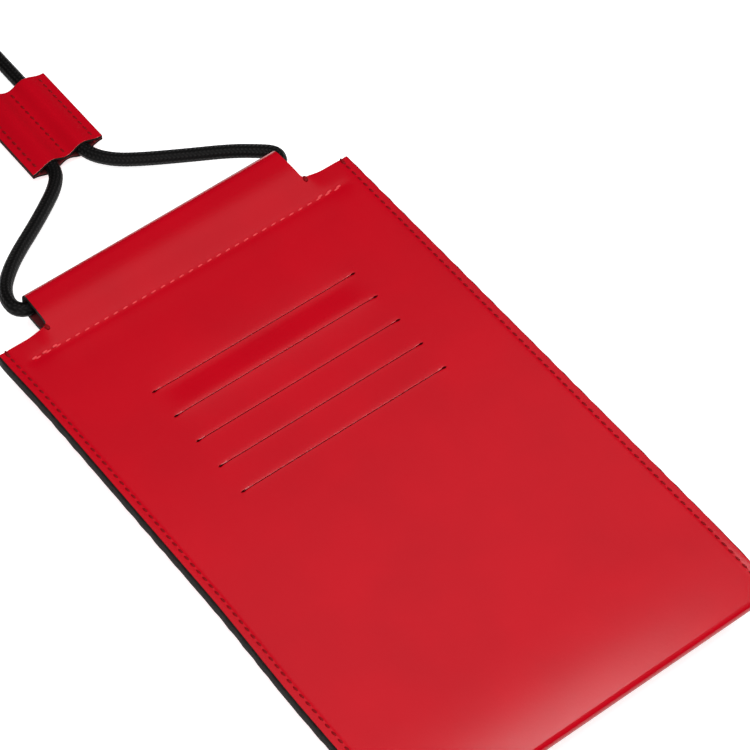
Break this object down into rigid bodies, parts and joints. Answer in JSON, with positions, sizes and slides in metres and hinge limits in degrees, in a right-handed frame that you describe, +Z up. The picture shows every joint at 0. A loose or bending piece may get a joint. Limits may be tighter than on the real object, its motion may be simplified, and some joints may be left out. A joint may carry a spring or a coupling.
{
  "type": "phone pouch",
  "caption": "Flat leather phone pouch with card slits across its front, worn on a round neck cord that runs through a folded tab and a sliding leather keeper.",
  "frame": {"origin": "Under the middle of the pouch without its cord, on the surface that it lies on.", "axes": "+Y along the pouch from its bottom fold to its mouth and cord, +X to its right seen from the front, +Z up out of its front."},
  "size_m": [0.1058, 0.3471, 0.0132],
  "materials": {
    "red_leather": "smooth, semi-gloss, black painted edges",
    "lining_cloth": "fine matt suede-like cloth",
    "pocket_cloth": "thin plain weave",
    "red_thread": "waxed thread",
    "coral_thread": "waxed thread",
    "black_cord": "fine round braid",
    "splice_sleeve": "shrunk sleeve",
    "tie_band": "flat woven band"
  },
  "bodies": {
    "pouch": {"leather_wrap": "red_leather", "lining": "lining_cloth", "card_pocket_1": "pocket_cloth", "card_pocket_2": "pocket_cloth", "card_pocket_3": "pocket_cloth", "card_pocket_4": "pocket_cloth", "card_pocket_5": "pocket_cloth", "side_seam_left": "red_thread", "side_seam_right": "red_thread", "tunnel_seam": "coral_thread", "tab_tack_left": "red_thread", "tab_tack_right": "red_thread", "cord_in_tunnel": "black_cord", "cord_splice": "splice_sleeve", "cord_right_strand": "black_cord", "cord_left_strand": "black_cord", "cord_coil": "black_cord", "coil_tie": "tie_band"},
    "slider": {"slider_front": "red_leather", "slider_back": "red_leather", "slider_seam_left": "red_thread", "slider_seam_middle": "red_thread", "slider_seam_right": "red_thread"}
  },
  "joints": [
    {"name": "slider_slide", "type": "slide", "parent": "pouch", "child": "slider", "axis": [0, 1, 0], "range_m": [0, 0.025]}
  ]
}
